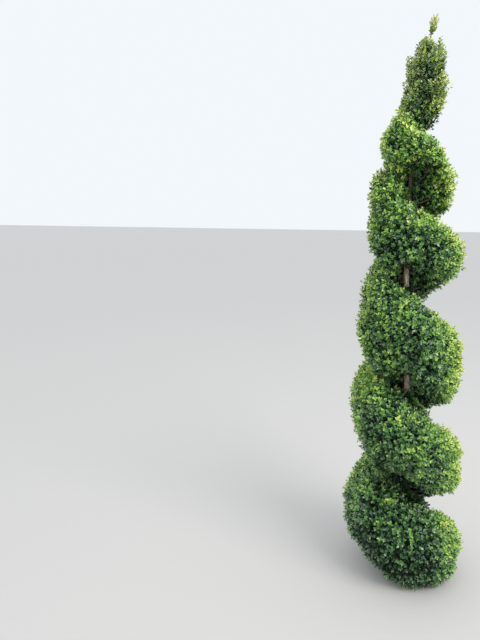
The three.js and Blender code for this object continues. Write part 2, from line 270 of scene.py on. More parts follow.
def pattern(nodes, links, scale, detail, roughness, shift, stretch, low, high):
    """A mask from 0 to 1 between two levels of noise on Object coordinates."""
    place = nodes.new("ShaderNodeTexCoord")
    mapping = nodes.new("ShaderNodeMapping")
    mapping.inputs["Location"].default_value = shift
    mapping.inputs["Scale"].default_value = stretch
    links.new(place.outputs["Object"], mapping.inputs["Vector"])
    texture = nodes.new("ShaderNodeTexNoise")
    texture.inputs["Scale"].default_value = scale
    texture.inputs["Detail"].default_value = detail
    texture.inputs["Roughness"].default_value = roughness
    links.new(mapping.outputs["Vector"], texture.inputs["Vector"])
    mask = nodes.new("ShaderNodeMapRange")
    mask.inputs["From Min"].default_value = low
    mask.inputs["From Max"].default_value = high
    links.new(texture.outputs["Fac"], mask.inputs["Value"])
    return mask.outputs["Result"]


def mixed(nodes, links, factor, first, second):
    """A colour that goes from the first to the second with a factor."""
    mix = nodes.new("ShaderNodeMix")
    mix.data_type = "RGBA"
    links.new(factor, mix.inputs["Factor"])
    links.new(first, mix.inputs["A"])
    links.new(second, mix.inputs["B"])
    return mix.outputs["Result"]


def make_bark_group():
    """A node group for bark: long fine cracks, paler ridges, blotches, and their relief."""
    group = bpy.data.node_groups.new("cracked_bark", "ShaderNodeTree")
    for name, kind, start in (
        ("Ridge colour", "NodeSocketColor", (0.5, 0.4, 0.3, 1)),
        ("Crack colour", "NodeSocketColor", (0.1, 0.08, 0.05, 1)),
        ("Blotch colour", "NodeSocketColor", (0.3, 0.3, 0.2, 1)),
        ("Blotches", "NodeSocketFloat", 0.3),
        ("Crack depth", "NodeSocketFloat", 0.0004),
    ):
        socket = group.interface.new_socket(name, in_out="INPUT", socket_type=kind)
        socket.default_value = start
    for name, kind in (
        ("Colour", "NodeSocketColor"),
        ("Roughness", "NodeSocketFloat"),
        ("Normal", "NodeSocketVector"),
    ):
        group.interface.new_socket(name, in_out="OUTPUT", socket_type=kind)
    nodes, links = group.nodes, group.links
    given = nodes.new("NodeGroupInput").outputs
    result = nodes.new("NodeGroupOutput").inputs

    ridges = pattern(nodes, links, **CRACK_PATTERN)
    spots = pattern(nodes, links, **BLOTCH_PATTERN)
    strength = nodes.new("ShaderNodeMath")
    strength.operation = "MULTIPLY"
    links.new(spots, strength.inputs[0])
    links.new(given["Blotches"], strength.inputs[1])
    bare = mixed(nodes, links, ridges, given["Crack colour"], given["Ridge colour"])
    colour = mixed(nodes, links, strength.outputs["Value"], bare, given["Blotch colour"])
    links.new(colour, result["Colour"])

    gloss = nodes.new("ShaderNodeMapRange")
    gloss.inputs["To Min"].default_value = CRACK_ROUGHNESS
    gloss.inputs["To Max"].default_value = RIDGE_ROUGHNESS
    links.new(ridges, gloss.inputs["Value"])
    links.new(gloss.outputs["Result"], result["Roughness"])

    relief = nodes.new("ShaderNodeBump")
    links.new(ridges, relief.inputs["Height"])
    links.new(given["Crack depth"], relief.inputs["Distance"])
    links.new(relief.outputs["Normal"], result["Normal"])
    return group


bark_group = make_bark_group()


def bark_material(name, ridge, crack, blotch, blotches, depth):
    """A bark of this kind's own colours and depth, made with the bark group."""
    material = bpy.data.materials.new(name)
    material.use_nodes = True
    nodes, links = material.node_tree.nodes, material.node_tree.links
    surface = nodes["Principled BSDF"]
    bark = nodes.new("ShaderNodeGroup")
    bark.node_tree = bark_group
    bark.inputs["Ridge colour"].default_value = (*ridge, 1)
    bark.inputs["Crack colour"].default_value = (*crack, 1)
    bark.inputs["Blotch colour"].default_value = (*blotch, 1)
    bark.inputs["Blotches"].default_value = blotches
    bark.inputs["Crack depth"].default_value = depth
    links.new(bark.outputs["Colour"], surface.inputs["Base Color"])
    links.new(bark.outputs["Roughness"], surface.inputs["Roughness"])
    links.new(bark.outputs["Normal"], surface.inputs["Normal"])
    return material


# The pale bark is painted paler than real bark: painted light on the trunk in the bare places
pale_bark_and_painted_light = bark_material(
    "pale_cracked_bark_and_painted_light",
    ridge=(0.90, 0.79, 0.61),
    crack=(0.42, 0.33, 0.22),
    blotch=(0.48, 0.42, 0.30),
    blotches=0.3,
    depth=0.0006,
)
young_bark_and_painted_shade = bark_material(
    "reddish_young_bark_and_painted_shade",
    ridge=(0.25, 0.17, 0.12),
    crack=(0.10, 0.065, 0.045),
    blotch=(0.15, 0.13, 0.085),
    blotches=0.4,
    depth=0.0003,
)
trunk.data.materials.append(pale_bark_and_painted_light)
trunk.data.materials.append(young_bark_and_painted_shade)
# Above this height the trunk gets the dark young bark, partly painted shade in the upper grooves
for face in trunk.data.polygons:
    face.material_index = int(face.center.z > DARK_BARK_AND_SHADE_FROM)
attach(trunk, "root")
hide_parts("trunk")


# Boughs in the grooves: a short reddish stub from the trunk into the foliage beside the middle
# groove, and a thin leafy bough that rises from the trunk across the open groove under the top.
BOUGH_SIDES = 12
BOUGH_INNER_SHARES = (0.2, 0.98)


def make_bough(name):
    """A barked bough along the longest way through its CAD node."""
    triangles = triangles_of(name)
    points = triangles.reshape(-1, 3)
    tree = tree_of(triangles)
    middle = points.mean(axis=0)
    along = Vector(np.linalg.svd(points - middle)[2][0])
    along *= 1 if along.z > 0 else -1
    reach = (points - middle) @ np.array(along)
    low, high = Vector(middle) + along * reach.min(), Vector(middle) + along * reach.max()
    side = along.cross(Vector((0, 1, 0))).normalized()
    front = side.cross(along)

    def bough_centre(share):
        return low.lerp(high, share), side, front

    def bough_radius(share, centre, out):
        first, last = BOUGH_INNER_SHARES
        inside = low.lerp(high, min(max(share, first), last))
        return tree.ray_cast(inside, out)[3]

    bough = barked_tube(
        name + "_bark", (high - low).length, BOUGH_SIDES, bough_centre, bough_radius
    )
    bough.data.materials.append(young_bark_and_painted_shade)
    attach(bough, "root")
    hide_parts(name)
    return np.array(low), np.array(high)


make_bough("bough_stub_middle_groove")
gap_bough_foot, gap_bough_tip = make_bough("bough_under_top")


# Places of the shoots: every leafy shoot ends near the clipped faces of the masses. Proud ones
# were cut level by the shears, shorter ones fill the gaps between them, and behind them are
# old ones that keep only a few dark leaves, dark with age and as painted shade inside the mass.
SEED = 7
CANDIDATES = 90000
PROUD_SPACING = 0.0168
BETWEEN_SPACING = 0.0110
DEEP_SPACING = 0.026
SHADE_SPACING = 0.15
TOP_SPACING = 0.13
TOP_SPACING_HEIGHTS = (1.86, 1.98)
SEAM_REACH = 0.006
SURFACE_GAP = 0.0001
THICKNESS_GAP = 0.001
GROUND_REACH = 0.012
GROUND_SLOPE = -0.5
CREASE_REACH = 0.046
CREASE_SHARE = 0.45
HOLLOW_SIZE = 0.055
HOLLOW_SHIFT = Vector((5, 1, 3))
TUFT_SIZE = 0.030
TUFT_SHIFT = Vector((9, 3, 1))
PROUD_INSET = 0.004
BETWEEN_INSET = 0.014
DEEP_INSET = 0.036
HOLLOW_DEPTH = 0.014
TUFT_DEPTH = 0.014
DEPTH_JITTER = 0.005
HEIGHT_BANDS = 40
LEAST_OUTLINE = 0.05
OPEN_FROM = 0.35
OPEN_TO = 0.8
LEAST_THICKNESS = 0.03

draw = np.random.default_rng(SEED)
mass_names = sorted(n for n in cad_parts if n.startswith(("top_", "coil_")))
mass_triangles = [triangles_of(n) for n in mass_names]
plant_tree = tree_of(np.concatenate([trunk_triangles, *mass_triangles]))
mass_tree = tree_of(np.concatenate(mass_triangles))


def on_faces(triangles, count):
    """Random places on triangles, and their normals."""
    first = triangles[:, 1] - triangles[:, 0]
    second = triangles[:, 2] - triangles[:, 0]
    cross = np.cross(first, second)
    size = np.linalg.norm(cross, axis=1)
    which = draw.choice(len(triangles), count, p=size / size.sum())
    a, b = draw.random((2, count, 1))
    a, b = np.where(a + b > 1, 1 - a, a), np.where(a + b > 1, 1 - b, b)
    places = triangles[which, 0] + a * first[which] + b * second[which]
    return places, (cross / np.maximum(size, 1e-12)[:, None])[which]


def covered(tree, place, normal, reach):
    """Whether a face lies this near the next one that it looks at."""
    start = Vector(place + normal * SURFACE_GAP)
    return tree.ray_cast(start, Vector(normal), reach)[0] is not None


def thinned(places, spacing):
    """Places that keep their own spacing from the ones kept before them."""
    cell = spacing.max()
    grid = {}
    kept = []
    steps = [(i, j, k) for i in (-1, 0, 1) for j in (-1, 0, 1) for k in (-1, 0, 1)]
    for index, (place, gap) in enumerate(zip(places, spacing)):
        key = tuple(np.floor(place / cell).astype(int))
        near = [grid.get((key[0] + i, key[1] + j, key[2] + k), ()) for i, j, k in steps]
        near = [n for group in near for n in group]
        if near and gap > 0 and (((places[near] - place) ** 2).sum(axis=1) < gap * gap).any():
            continue
        grid.setdefault(key, []).append(index)
        kept.append(index)
    return np.array(kept)


def smooth(value, low, high):
    """A soft step from 0 at low to 1 at high."""
    share = np.clip((value - low) / (high - low), 0, 1)
    return share * share * (3 - 2 * share)


def lumps(places, size, shift):
    """Smooth noise at places, from about -1 to 1."""
    return np.array([noise.noise(Vector(p) / size + shift) for p in places])


areas = np.array([
    np.linalg.norm(np.cross(t[:, 1] - t[:, 0], t[:, 2] - t[:, 0]), axis=1).sum()
    for t in mass_triangles
])
found = [
    on_faces(t, int(CANDIDATES * area / areas.sum()))
    for t, area in zip(mass_triangles, areas)
]
owner = np.repeat(np.arange(len(found)), [len(p) for p, n in found])
places = np.concatenate([p for p, n in found])
normals = np.concatenate([n for p, n in found])
order = draw.permutation(len(places))
open_faces = np.array([
    not covered(plant_tree, p, n, SEAM_REACH) for p, n in zip(places, normals)
])
open_faces &= ~((places[:, 2] < GROUND_REACH) & (normals[:, 2] < GROUND_SLOPE))
order = order[open_faces[order]]
places, normals, owner = places[order], normals[order], owner[order]

# Openness says how far out a place lies: 0 near the trunk, and 1 near the clipped outline
out = places - trunk_axis(places[:, 2])
distance = np.linalg.norm(out[:, :2], axis=1)
height_share = places[:, 2] / cad_high.z * HEIGHT_BANDS
band = np.clip(height_share.astype(int), 0, HEIGHT_BANDS - 1)
widest = [distance[band == b].max(initial=LEAST_OUTLINE) for b in range(HEIGHT_BANDS)]
outline = np.interp(height_share - 0.5, range(HEIGHT_BANDS), widest)
openness = np.clip((distance / outline - OPEN_FROM) / (OPEN_TO - OPEN_FROM), 0, 1)
spread = 1 + SHADE_SPACING * (1 - openness)
spread -= TOP_SPACING * smooth(places[:, 2], *TOP_SPACING_HEIGHTS)

proud = thinned(places, PROUD_SPACING * spread)
others = draw.permutation(np.setdiff1d(np.arange(len(places)), proud))
both = np.concatenate([proud, others])
gaps = np.where(np.arange(len(both)) < len(proud), 0, BETWEEN_SPACING * spread[both])
between = both[thinned(places[both], gaps)][len(proud):]
deep = thinned(places, np.full(len(places), DEEP_SPACING))
thickness = np.array([
    mass_tree.ray_cast(Vector(p - n * THICKNESS_GAP), Vector(-n))[3] or 0
    for p, n in zip(places[deep], normals[deep])
])
deep, thickness = deep[thickness > LEAST_THICKNESS], thickness[thickness > LEAST_THICKNESS]
layers = (proud, between, deep)

chosen = np.concatenate(layers)
layer = np.repeat(np.arange(len(layers)), [len(members) for members in layers])
is_proud, is_deep = layer == 0, layer == 2
places, normals, owner = places[chosen], normals[chosen], owner[chosen]
out, distance, openness = out[chosen], distance[chosen], openness[chosen]
outwards = np.concatenate([out[:, :2] / distance[:, None], np.zeros((len(out), 1))], axis=1)
hollow = np.clip(lumps(places, HOLLOW_SIZE, HOLLOW_SHIFT), 0, 1)
tufts = lumps(places, TUFT_SIZE, TUFT_SHIFT)
inset = np.array([PROUD_INSET, BETWEEN_INSET, DEEP_INSET])[layer]
inset = inset + HOLLOW_DEPTH * hollow + DEPTH_JITTER * draw.random(len(places))
inset -= TUFT_DEPTH * tufts
inset[is_deep] = np.minimum(inset[is_deep], thickness / 2)
# Where two faces look at each other across a narrow crease, their shoots meet in the middle
crease = np.array([
    mass_tree.ray_cast(Vector(p + n * SURFACE_GAP), Vector(n), CREASE_REACH)[3] or 0
    for p, n in zip(places, normals)
])
inset = np.where((crease > 0) & ~is_deep, -CREASE_SHARE * crease, inset)
tips = places - normals * inset[:, None]


# Shoots: each points out of its face and upwards, as a clipped shrub's new growth does. On
# undersides they point outwards. A few have grown on past the shears.
SHOOT_LENGTHS = np.array([0.036, 0.030, 0.032])
SHOOT_LENGTH_SPREAD = (0.75, 1.2)
NORMAL_SHARE = 0.8
OUTWARD_SHARE = 0.25
UP_SHARE = 0.42
UNDERSIDE_SLOPE = -0.2
UNDERSIDE_UP_SHARE = 0.5
UNDERSIDE_OUTWARD_SHARE = 0.6
WANDER = 0.30
STRAY_SHARE = 0.03
STRAY_OPENNESS = 0.6
STRAY_LENGTH = 0.014
STRAY_LENGTH_SPREAD = (0.4, 1)
STRAY_STEM = 0.008
TOP_GROWTH_FROM = 1.93
TOP_GROWTH = 0.030
TOP_GROWTH_POWER = 1.6
TOP_STEM_SHARE = 0.7
TOP_RISE = 1.9
TOP_NARROWING = 0.75
TOP_NARROWING_HEIGHTS = (1.98, 2.06)
INNERMOST_LENGTH = 0.012
LENGTH_PER_DISTANCE = 0.55
LOWEST_TIP = 0.014
LOWEST_FOOT = 0.008

lean = normals * NORMAL_SHARE + outwards * OUTWARD_SHARE
lean[:, 2] += UP_SHARE * np.where(normals[:, 2] < UNDERSIDE_SLOPE, UNDERSIDE_UP_SHARE, 1)
under = np.clip(-normals[:, 2], 0, 1)
lean += under[:, None] * outwards * UNDERSIDE_OUTWARD_SHARE
lean += draw.normal(0, WANDER, lean.shape)
at_top = is_proud & (tips[:, 2] > TOP_GROWTH_FROM) & (normals[:, 2] > UNDERSIDE_SLOPE)
lean[:, 2] += TOP_RISE * at_top
lean[:, :2] *= 1 - TOP_NARROWING * smooth(tips[:, 2], *TOP_NARROWING_HEIGHTS)[:, None]
aims = lean / np.linalg.norm(lean, axis=1, keepdims=True)
strays = is_proud & (draw.random(len(tips)) < STRAY_SHARE) & (openness > STRAY_OPENNESS)
tips += aims * (STRAY_LENGTH * strays * draw.uniform(*STRAY_LENGTH_SPREAD, len(tips)))[:, None]
lengths = SHOOT_LENGTHS[layer] * draw.uniform(*SHOOT_LENGTH_SPREAD, len(tips))
lengths += STRAY_STEM * strays
growth = TOP_GROWTH * at_top * draw.random(len(tips)) ** TOP_GROWTH_POWER
tips += aims * growth[:, None]
lengths += TOP_STEM_SHARE * growth
lengths = np.minimum(lengths, INNERMOST_LENGTH + LENGTH_PER_DISTANCE * distance)
tips[:, 2] = np.maximum(tips[:, 2], LOWEST_TIP)
bases = tips - aims * lengths[:, None]
bases[:, 2] = np.maximum(bases[:, 2], LOWEST_FOOT)


# Limbs: boughs, branches and twigs inside the masses. Each new limb starts from the limb or
# trunk point from which its way to the roots is shortest, and rises on the way, so that
# forks come as on a shrub. Every limb is as thick as what it carries needs.
LIMB_SEED = 21
LIMB_SPACINGS = (0.075, 0.055, 0.036)
LIMB_REACHES = ((0.25, 0.5), (0.5, 0.75), (0.75, 0.93))
LIMB_DROP = 0.3
LIMB_JITTER = 0.004
TRUNK_STEP = 0.012
LOWEST_FORK = 0.05
HIGHEST_FORK = 0.1
RISE = 0.42
PATH_COST = 0.5
TWIG_PATH_COST = 0.15
SMOOTHING = 2
TWIG_RADIUS = 0.00085
FORK_POWER = 3.2
LEAST_LOAD = 0.5
FLARE_AT_TRUNK = 1.25
FLARE_AT_FORK = 1.05
LIMB_SIDES = 5
LIMB_BEND = 0.0025
BLOCK = 500
CELL = 0.012
COLUMN_GAP = 0.00001
OPEN_COST = 5
SAMPLES = (0.25, 0.5, 0.75)
GROUND_CLEARANCE = 0.001

draw = np.random.default_rng(LIMB_SEED)

# Which cells of a grid lie inside the masses or the trunk, read by rays up through each column
cell_count = np.ceil((np.array(cad_high) - np.array(cad_low)) / CELL).astype(int) + 1
filled = np.zeros(cell_count, bool)
up = Vector((0, 0, 1))
for i, j in np.ndindex(*cell_count[:2]):
    x, y = cad_low.x + i * CELL, cad_low.y + j * CELL
    bottom = plant_tree.ray_cast(Vector((x, y, -CELL)), up)[0]
    while bottom is not None:
        top = plant_tree.ray_cast(Vector((x, y, bottom.z + COLUMN_GAP)), up)[0]
        if top is None:
            break
        filled[i, j, round(bottom.z / CELL):round(top.z / CELL) + 1] = True
        bottom = plant_tree.ray_cast(Vector((x, y, top.z + COLUMN_GAP)), up)[0]


def open_share(starts, ends):
    """The share of each line that runs through open air."""
    total = 0
    for share in SAMPLES:
        point = starts + share * (ends - starts)
        cell = np.rint((point - np.array(cad_low)) / CELL).astype(int)
        cell = np.clip(cell, 0, cell_count - 1)
        total = total + ~filled[cell[..., 0], cell[..., 1], cell[..., 2]]
    return total / len(SAMPLES)


def middles(spacing, low, high):
    """Places inside the masses, at a share of the way from the trunk to the shoots' feet."""
    kept = thinned(bases, np.full(len(bases), spacing))
    share = draw.uniform(low, high, len(kept))[:, None]
    fork = trunk_axis(np.maximum(bases[kept, 2] - LIMB_DROP * distance[kept], LOWEST_FORK))
    inside = fork + share * (bases[kept] - fork)
    return inside + draw.normal(0, LIMB_JITTER, inside.shape)


forks = trunk_axis(np.arange(LOWEST_FORK, trunk_top - HIGHEST_FORK, TRUNK_STEP))
limb_points = np.concatenate([
    forks,
    *[middles(gap, *reach) for gap, reach in zip(LIMB_SPACINGS, LIMB_REACHES)],
])
parent = np.full(len(limb_points), -1)
path = np.zeros(len(limb_points))


def growing_cost(children, parents, parent_path):
    """What it costs each child to grow from its parent: its length, less for rising, and
    more for crossing a groove."""
    step = children - parents
    length = np.linalg.norm(step, axis=-1)
    open_length = length * open_share(parents, children)
    return length + OPEN_COST * open_length - RISE * step[..., 2] + parent_path


waiting = np.arange(len(forks), len(limb_points))
costs = np.stack([growing_cost(limb_points[waiting], fork, 0) for fork in forks])
cheapest = costs.min(axis=0)
from_limb = costs.argmin(axis=0)
grown = []
while len(waiting):
    pick = cheapest.argmin()
    new, old = waiting[pick], from_limb[pick]
    parent[new] = old
    path[new] = path[old] + np.linalg.norm(limb_points[new] - limb_points[old])
    grown.append(new)
    keep = np.arange(len(waiting)) != pick
    waiting, cheapest, from_limb = waiting[keep], cheapest[keep], from_limb[keep]
    cost = growing_cost(limb_points[waiting], limb_points[new], PATH_COST * path[new])
    better = cost < cheapest
    cheapest = np.where(better, cost, cheapest)
    from_limb = np.where(better, new, from_limb)
grown = np.array(grown)

# Each shoot starts from the limb point that suits it best
carrier = np.zeros(len(bases), int)
limb_ends, end_paths = limb_points[len(forks):], path[len(forks):]
for start in range(0, len(bases), BLOCK):
    block = slice(start, start + BLOCK)
    cost = growing_cost(bases[block, None], limb_ends[None], TWIG_PATH_COST * end_paths)
    carrier[block] = len(forks) + cost.argmin(axis=1)

# A limb is as thick as all the shoots that it carries
load = np.bincount(carrier, minlength=len(limb_points)).astype(float)
for new in grown[::-1]:
    load[parent[new]] += max(load[new], LEAST_LOAD)
limb_radius = TWIG_RADIUS * np.maximum(load, 1) ** (1 / FORK_POWER)

# Limbs bend instead of breaking at their forks: each point goes half of the way to the middle
# of its neighbours on both sides
for _ in range(SMOOTHING):
    total = np.zeros_like(limb_points)
    weight = np.zeros(len(limb_points))
    np.add.at(total, parent[grown], limb_points[grown] * load[grown, None])
    np.add.at(weight, parent[grown], load[grown])
    inner = grown[weight[grown] > 0]
    onward = total[inner] / weight[inner, None]
    moved = limb_points.copy()
    moved[inner] = 0.5 * limb_points[inner] + 0.25 * limb_points[parent[inner]] + 0.25 * onward
    limb_points = moved


def mesh_from(name, points, faces):
    """A smooth mesh from arrays of points and of faces that all have as many corners."""
    mesh = bpy.data.meshes.new(name)
    mesh.vertices.add(len(points))
    mesh.vertices.foreach_set("co", points.astype(np.float32).ravel())
    mesh.loops.add(faces.size)
    mesh.loops.foreach_set("vertex_index", faces.astype(np.int32).ravel())
    mesh.polygons.add(len(faces))
    mesh.polygons.foreach_set("loop_start", np.arange(0, faces.size, faces.shape[1]))
    mesh.polygons.foreach_set("use_smooth", np.ones(len(faces), bool))
    mesh.update(calc_edges=True)
    mesh.validate()
    piece = bpy.data.objects.new(name, mesh)
    bpy.context.scene.collection.objects.link(piece)
    return piece


def unit(vectors):
    """Vectors in the same directions, of length 1."""
    return vectors / np.maximum(np.linalg.norm(vectors, axis=-1, keepdims=True), 1e-9)


def across_from(directions):
    """Two directions square to each direction and to each other."""
    helper = np.where(np.abs(directions[..., 2:]) > 0.9, [1.0, 0, 0], [0, 0, 1.0])
    across = unit(np.cross(directions, helper))
    return across, np.cross(directions, across)


def joined_tubes(name, starts, bends, ends, start_radii, end_radii, sides):
    """Many small tapering tubes as one mesh. Each bends at one point, and none goes below
    the ground."""
    rows = np.stack([starts, bends, ends], axis=1)
    radii = np.stack([start_radii, (start_radii + end_radii) / 2, end_radii], axis=1)
    across, third = across_from(unit(ends - starts))
    angle = np.arange(sides)[:, None] * 2 * math.pi / sides
    ring = np.cos(angle) * across[:, None] + np.sin(angle) * third[:, None]
    points = rows[:, :, None] + radii[:, :, None, None] * ring[:, None]
    points[..., 2] = np.maximum(points[..., 2], GROUND_CLEARANCE)
    side = np.arange(sides)
    beside = (side + 1) % sides
    quads = np.stack([side, beside, beside + sides, side + sides], axis=1)
    quads = np.concatenate([quads, quads + sides])
    faces = quads[None] + (np.arange(len(starts)) * len(rows[0]) * sides)[:, None, None]
    return mesh_from(name, points.reshape(-1, 3), faces.reshape(-1, 4))


start, end = limb_points[parent[grown]], limb_points[grown]
from_trunk = parent[grown] < len(forks)
limbs = joined_tubes(
    "limbs",
    start,
    (start + end) / 2 + draw.normal(0, LIMB_BEND, start.shape),
    end,
    limb_radius[grown] * np.where(from_trunk, FLARE_AT_TRUNK, FLARE_AT_FORK),
    limb_radius[grown],
    LIMB_SIDES,
)
limb_bark = bark_material(
    "brown_limb_bark",
    ridge=(0.125, 0.105, 0.080),
    crack=(0.050, 0.042, 0.032),
    blotch=(0.070, 0.075, 0.048),
    blotches=0.5,
    depth=0.0002,
)
limbs.data.materials.append(limb_bark)
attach(limbs, "root")


# Shoots on the trunk: where the trunk crosses a groove, short shaded shoots hide it, their dark
# leaves partly painted shade. Two bare places at the front show its pale bark, and no leaf is
# left before them.
TRUNK_CANDIDATES = 16000
TRUNK_SPACING = 0.0088
TRUNK_REACH = 0.012
TRUNK_SHOOT_LENGTH = 0.048
TRUNK_SHOOT_SPREAD = (0.5, 1.15)
TRUNK_SHOOT_WANDER = 0.45
TRUNK_SHOOT_RISE = 0.35
TRUNK_LEAFY_FROM = 0.07
TRUNK_LEAFY_TO = 1.98
BARE_PLACES = (
    {"low": 0.787, "high": 0.868, "rise": 0.32, "half_width": 0.012},
    {"low": 1.226, "high": 1.318, "rise": 0.12, "half_width": 0.018},
)
BARE_FLARE = 0.08
BARE_BACK = 0.004


def before_bark(points):
    """Whether points lie in the openings before the bare places. These rise to the front."""
    axis = trunk_axis(points[..., 2])
    before = axis[..., 1] + BARE_BACK - points[..., 1]
    aside = np.abs(points[..., 0] - axis[..., 0]) - BARE_FLARE * before
    inside = np.zeros(before.shape, bool)
    for place in BARE_PLACES:
        height = points[..., 2] - place["rise"] * before
        level = (height > place["low"]) & (height < place["high"])
        inside |= level & (aside < place["half_width"])
    return inside & (before > 0)


trunk_places, trunk_normals = on_faces(trunk_triangles, TRUNK_CANDIDATES)
leafy = (trunk_places[:, 2] > TRUNK_LEAFY_FROM) & (trunk_places[:, 2] < TRUNK_LEAFY_TO)
leafy &= ~before_bark(trunk_places)
leafy &= np.array([
    not covered(mass_tree, p, n, TRUNK_REACH) for p, n in zip(trunk_places, trunk_normals)
])
trunk_places, trunk_normals = trunk_places[leafy], trunk_normals[leafy]
kept = thinned(trunk_places, np.full(len(trunk_places), TRUNK_SPACING))
trunk_places, trunk_normals = trunk_places[kept], trunk_normals[kept]
trunk_aims = trunk_normals + draw.normal(0, TRUNK_SHOOT_WANDER, trunk_normals.shape)
trunk_aims[:, 2] += TRUNK_SHOOT_RISE
trunk_aims = unit(trunk_aims)
trunk_lengths = TRUNK_SHOOT_LENGTH * draw.uniform(*TRUNK_SHOOT_SPREAD, len(kept))

# A few short leafy shoots on the thin bough that crosses the groove under the top
GAP_SHOOTS = 13
GAP_SHOOTS_FROM = 0.10
GAP_SHOOTS_TO = 0.95
GAP_SHOOT_LENGTH = 0.016
GAP_SHOOT_WANDER = 0.6

gap_share = np.linspace(GAP_SHOOTS_FROM, GAP_SHOOTS_TO, GAP_SHOOTS)[:, None]
gap_way = gap_bough_tip - gap_bough_foot
gap_places = gap_bough_foot + gap_share * gap_way
gap_aims = unit(draw.normal(0, GAP_SHOOT_WANDER, (GAP_SHOOTS, 3)) + unit(gap_way))
gap_lengths = np.full(GAP_SHOOTS, GAP_SHOOT_LENGTH)


# Leader and side shoot: two leafy sprigs that stand up past the clipped top. Each stem carries
# a few short shoots that leave it in turn all round.
SPRIG_TURN = math.radians(137.5)
SPRIG_LEAF_REACH = 0.006
SPRIG_ROOT = 0.03
SPRIG_END_SHARE = 0.15
SPRIG_CLOSING = 0.8
SPRIG_CLOSING_POWER = 4
SPRIG_LENGTHS = ([0, 0.25, 1], [0.45, 0.9, 1])
SPRIGS = {
    "leader_tuft": {"shoots": 16, "length": 0.035, "lean": 0.46, "palest": 16},
    "side_shoot": {"shoots": 12, "length": 0.030, "lean": 0.55, "palest": 4},
}


def make_sprig(node, shoots, length, lean):
    """The feet, aims and lengths of a sprig's shoots, along the middle of its CAD node, and
    the same of its stem."""
    low, high = (np.array(corner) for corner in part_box(node))
    points = triangles_of(node).reshape(-1, 3)
    near = (high[2] - low[2]) * SPRIG_END_SHARE
    foot = points[points[:, 2] < low[2] + near].mean(axis=0)
    tip = points[points[:, 2] > high[2] - near].mean(axis=0)
    along = unit(tip - foot)
    across, third = across_from(along)
    share = np.linspace(0, 1, shoots)
    angle = np.arange(shoots) * SPRIG_TURN
    side = np.cos(angle)[:, None] * across + np.sin(angle)[:, None] * third
    leaning = lean * (1 - SPRIG_CLOSING * share ** SPRIG_CLOSING_POWER)[:, None]
    sprig_aims = unit(along + leaning * side)
    sprig_lengths = length * np.interp(share, *SPRIG_LENGTHS)
    room = np.linalg.norm(tip - foot) - length - SPRIG_LEAF_REACH
    feet = foot + share[:, None] * room * along
    root = foot - SPRIG_ROOT * along
    stem = (root[None], along[None], np.array([SPRIG_ROOT + room]))
    return (feet, sprig_aims, sprig_lengths), stem


sprigs = {
    node: make_sprig(node, sizes["shoots"], sizes["length"], sizes["lean"])
    for node, sizes in SPRIGS.items()
}


# Twigs: the thin green-brown stems that carry the leaves, young wood that tapers to the tips.
# One that comes from a limb bends where its leafy shoot begins.
TWIG_SIDES = 3
TWIG_FOOT_SHARE = 1.1
TWIG_TIP_SHARE = 0.45

origin = limb_points[carrier]
straight_shoots = [
    (trunk_places, trunk_aims, trunk_lengths),
    (gap_places, gap_aims, gap_lengths),
    *[shoots for shoots, stem in sprigs.values()],
    *[stem for shoots, stem in sprigs.values()],
]
twig_starts = [origin, *[feet for feet, way, length in straight_shoots]]
twig_bends = [bases, *[feet + way * length[:, None] / 2 for feet, way, length in straight_shoots]]
twig_ends = [tips, *[feet + way * length[:, None] for feet, way, length in straight_shoots]]
twig_starts = np.concatenate(twig_starts)
twigs = joined_tubes(
    "twigs",
    twig_starts,
    np.concatenate(twig_bends),
    np.concatenate(twig_ends),
    np.full(len(twig_starts), TWIG_RADIUS * TWIG_FOOT_SHARE),
    np.full(len(twig_starts), TWIG_RADIUS * TWIG_TIP_SHARE),
    TWIG_SIDES,
)
twig_bark = bark_material(
    "green_brown_twig_bark",
    ridge=(0.20, 0.20, 0.08),
    crack=(0.09, 0.09, 0.04),
    blotch=(0.15, 0.11, 0.06),
    blotches=0.5,
    depth=0.0001,
)
twigs.data.materials.append(twig_bark)
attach(twigs, "root")


# Leaves: small oval leaves in pairs up each shoot, every pair turned a quarter against the
# last, leathery and softly glossy. The youngest, at the tips, stand up round the bud, and
# older ones, darker with age and as painted shade, are left on the twig behind.
LEAF_LENGTH = 0.0165
DEEP_LEAF_LENGTH = 0.0200
SPRIG_LEAF_LENGTH = 0.0135
LEAF_WIDTH = 0.52
LEAF_FOLD = 0.20
LOWER_SHOULDER = 0.33
UPPER_SHOULDER = 0.74
UPPER_NARROWING = 0.88
DISC_HALF_WIDTH = 0.433
LEAF_SIZES = ([0, 0.35, 0.75, 1], [0.85, 1, 0.95, 0.65])
LEAF_SIZE_SPREAD = (0.82, 1.12)
LEAF_LIFT = 0.35
LIFT_WANDER = 0.18
LIGHT_FROM = np.array([0.35, -0.2, 0.9])
TURN_WANDER = 0.22
OPEN_ANGLE = math.radians(76)
BUD_ANGLE = math.radians(34)
OPENING_POWER = 1.6
OPEN_WANDER = 0.16


def make_leaf():
    """One leaf along +Y: a six-sided disc pulled to an oval and folded along its midrib."""
    shape = bmesh.new()
    bmesh.ops.create_circle(shape, cap_ends=True, segments=6, radius=0.5)
    for v in shape.verts:
        along = v.co.y + 0.5
        across = v.co.x / DISC_HALF_WIDTH
        is_lower = along < 0.5
        width = 0.5 * LEAF_WIDTH * (1 if is_lower else UPPER_NARROWING)
        shoulder = LOWER_SHOULDER if is_lower else UPPER_SHOULDER
        place = 0 if along < 0.1 else 1 if along > 0.9 else shoulder
        v.co = (across * width, place, abs(across) * width * LEAF_FOLD)
    foot = min(shape.verts, key=lambda v: v.co.y)
    tip = max(shape.verts, key=lambda v: v.co.y)
    bmesh.ops.connect_verts(shape, verts=[foot, tip])
    shape.verts.index_update()
    points = np.array([v.co for v in shape.verts])
    faces = np.array([[v.index for v in f.verts] for f in shape.faces])
    shape.free()
    first = points[faces[0]]
    if np.cross(first[1] - first[0], first[2] - first[0])[2] < 0:
        faces = faces[:, ::-1]
    return points, faces


leaf_points, leaf_faces = make_leaf()


